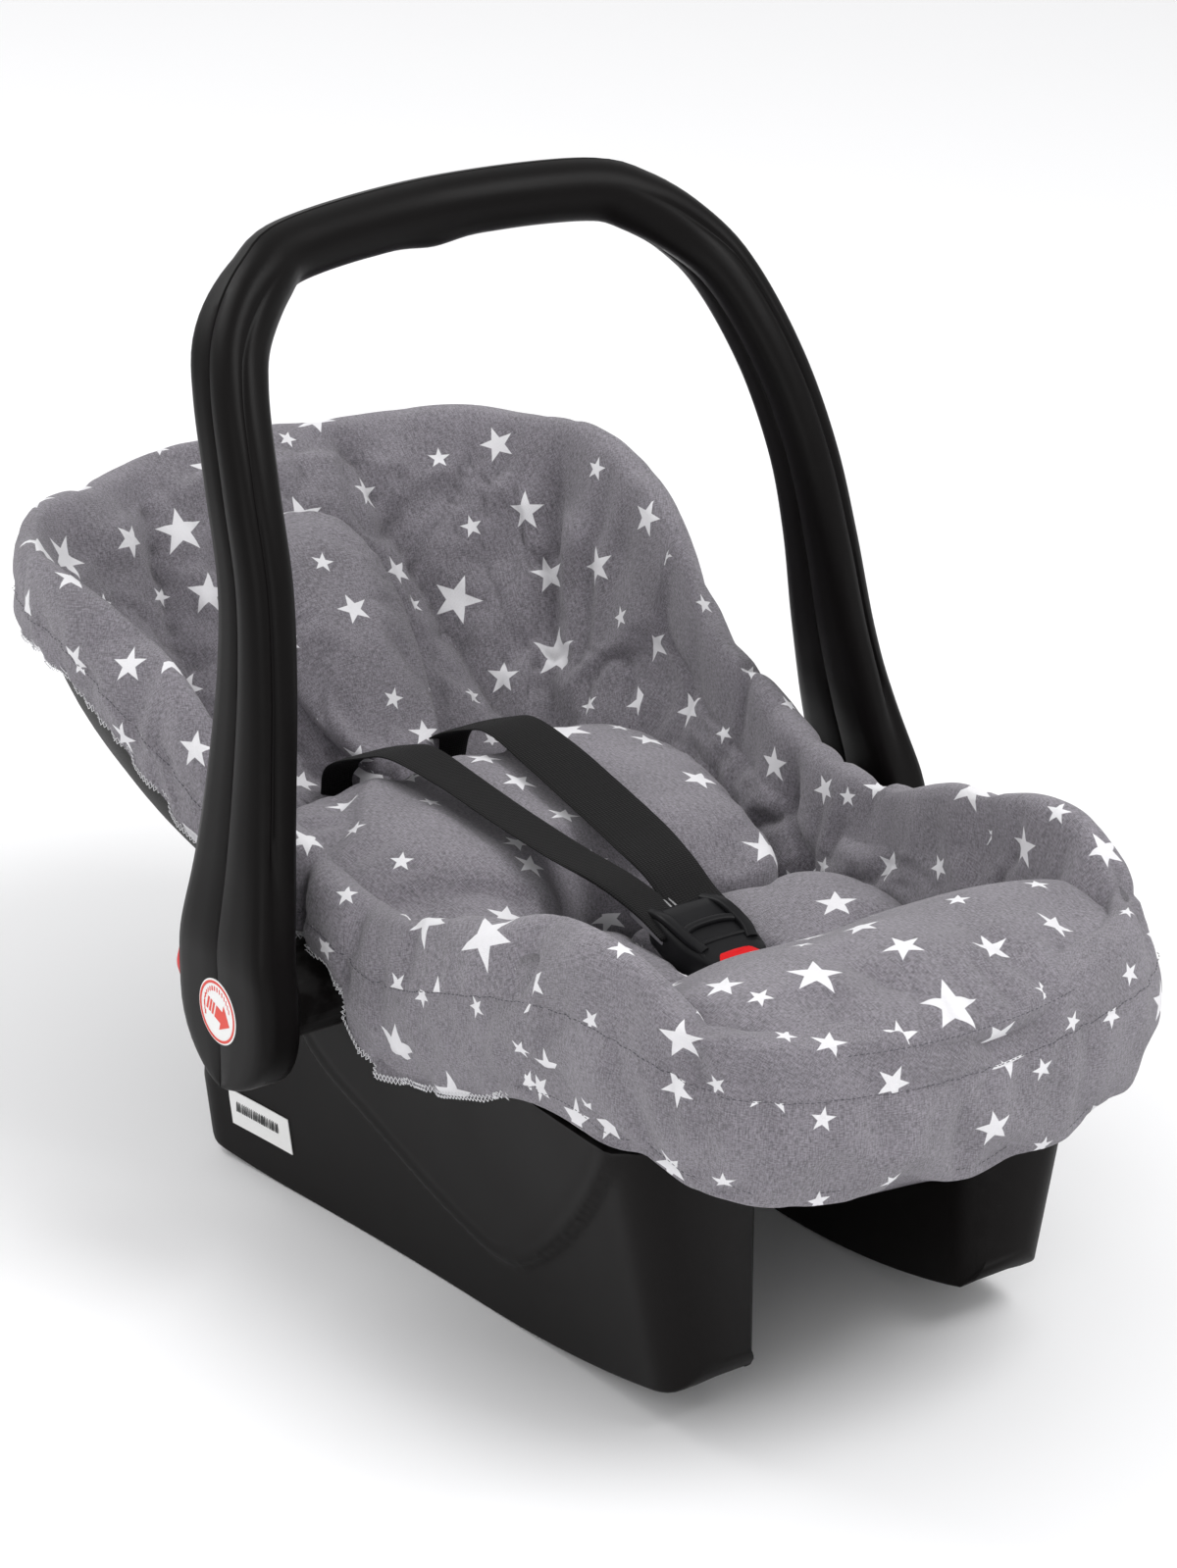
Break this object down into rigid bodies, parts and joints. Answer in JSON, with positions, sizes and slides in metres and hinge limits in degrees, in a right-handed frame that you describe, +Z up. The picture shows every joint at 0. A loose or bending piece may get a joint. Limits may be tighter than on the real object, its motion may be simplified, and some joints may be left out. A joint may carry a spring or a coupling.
{
  "type": "infant car seat",
  "caption": "Infant carrier seat with a swinging carry handle, rocker sides, a padded fabric cover and a belt harness with a press buckle.",
  "frame": {"origin": "bottom centre of the seat's box, on the surface that the rockers stand on", "axes": "+Z up, -Y towards the foot end, +Y towards the head end, +X to the right seen from the foot end"},
  "size_m": [0.43, 0.6982, 0.528],
  "materials": {
    "black_shell": "fine moulded grain, scuffed",
    "black_handle": "fine moulded grain",
    "red_button": "glossy",
    "steel": "zinc plated",
    "grey_fabric": "heather grey weave with white stars",
    "webbing": "woven black webbing",
    "label": "printed sticker"
  },
  "bodies": {
    "seat": {"seat_bucket": "black_shell", "rocker_side_left": "black_shell", "rocker_side_right": "black_shell", "pivot_housing_left": "black_shell", "pivot_housing_right": "black_shell", "buckle_body": "black_shell", "pivot_pin_left": "steel", "pivot_pin_right": "steel", "buckle_tongue_left": "steel", "buckle_tongue_right": "steel", "rocker_screw_left_1": "steel", "rocker_screw_left_2": "steel", "rocker_screw_right_1": "steel", "rocker_screw_right_2": "steel", "cover_head": "grey_fabric", "cover_side_left": "grey_fabric", "cover_side_right": "grey_fabric", "cover_foot": "grey_fabric", "back_pad": "grey_fabric", "bolster_left": "grey_fabric", "bolster_right": "grey_fabric", "thigh_pad_left": "grey_fabric", "thigh_pad_right": "grey_fabric", "leg_pad": "grey_fabric", "seat_cushion": "grey_fabric", "shoulder_strap_left": "webbing", "shoulder_strap_right": "webbing", "crotch_strap": "webbing", "barcode_sticker": "label"},
    "handle": {"handle_front_half": "black_handle", "handle_rear_half": "black_handle", "label_left": "label", "label_right": "label"},
    "release_left": {"release_button_left": "red_button", "lock_pin_left": "steel"},
    "release_right": {"release_button_right": "red_button", "lock_pin_right": "steel"},
    "buckle_press": {"buckle_button": "red_button"}
  },
  "joints": [
    {"name": "handle_swing", "type": "hinge", "parent": "seat", "child": "handle", "pos_m": [0, -0.00034, 0.158], "axis": [1, 0, 0], "range_deg": [-25, 110]},
    {"name": "release_left_push", "type": "slide", "parent": "handle", "child": "release_left", "axis": [0, -1, 0], "range_m": [0, 0.005], "stiffness_N_per_m": 400},
    {"name": "release_right_push", "type": "slide", "parent": "handle", "child": "release_right", "axis": [0, -1, 0], "range_m": [0, 0.005], "stiffness_N_per_m": 400},
    {"name": "buckle_button_push", "type": "slide", "parent": "seat", "child": "buckle_press", "axis": [0, 0.9781, 0.2079], "range_m": [0, 0.004], "stiffness_N_per_m": 500}
  ]
}
